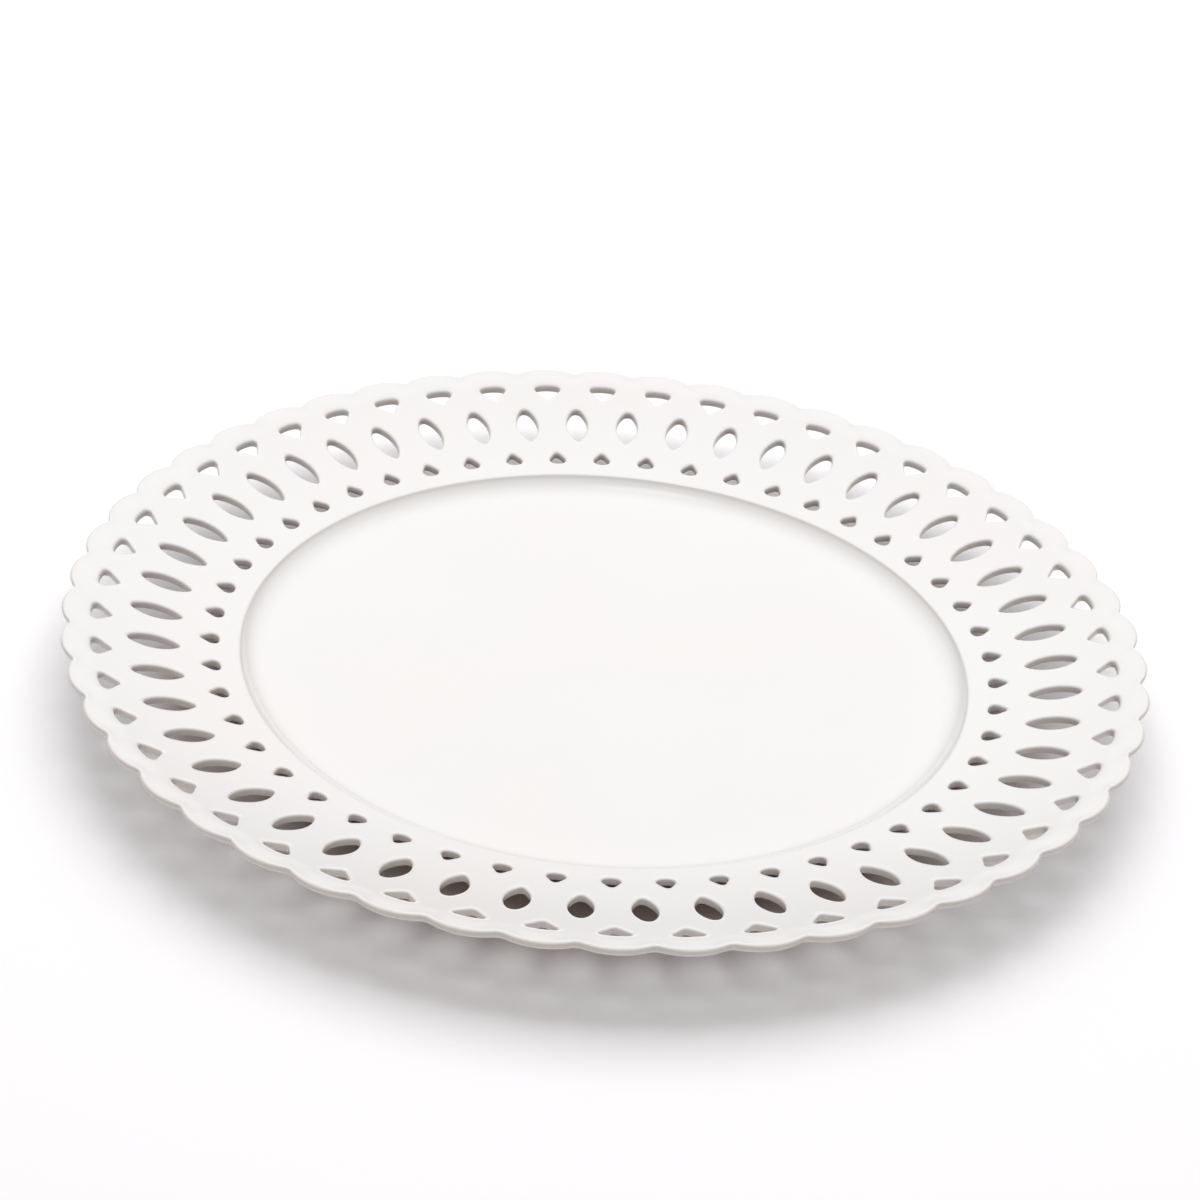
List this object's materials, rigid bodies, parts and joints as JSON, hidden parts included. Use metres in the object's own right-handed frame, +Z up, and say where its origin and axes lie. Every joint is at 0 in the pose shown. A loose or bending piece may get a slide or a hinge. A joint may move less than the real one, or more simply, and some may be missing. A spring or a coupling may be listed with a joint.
{
  "type": "pierced rim plate",
  "caption": "Round glazed ceramic plate with a flat well for serving, a raised rim pierced in a lace pattern, a scalloped edge and a foot ring.",
  "frame": {"origin": "centre of the foot ring, on the plane that the plate rests on", "axes": "+Z up along the plate's axis; +X points along a middle opening of the lace, and +Y along a scallop's tip"},
  "size_m": [0.2994, 0.3, 0.0235],
  "materials": {
    "glaze": "glossy warm white glaze"
  },
  "bodies": {
    "root": {"plate": "glaze"}
  },
  "joints": []
}
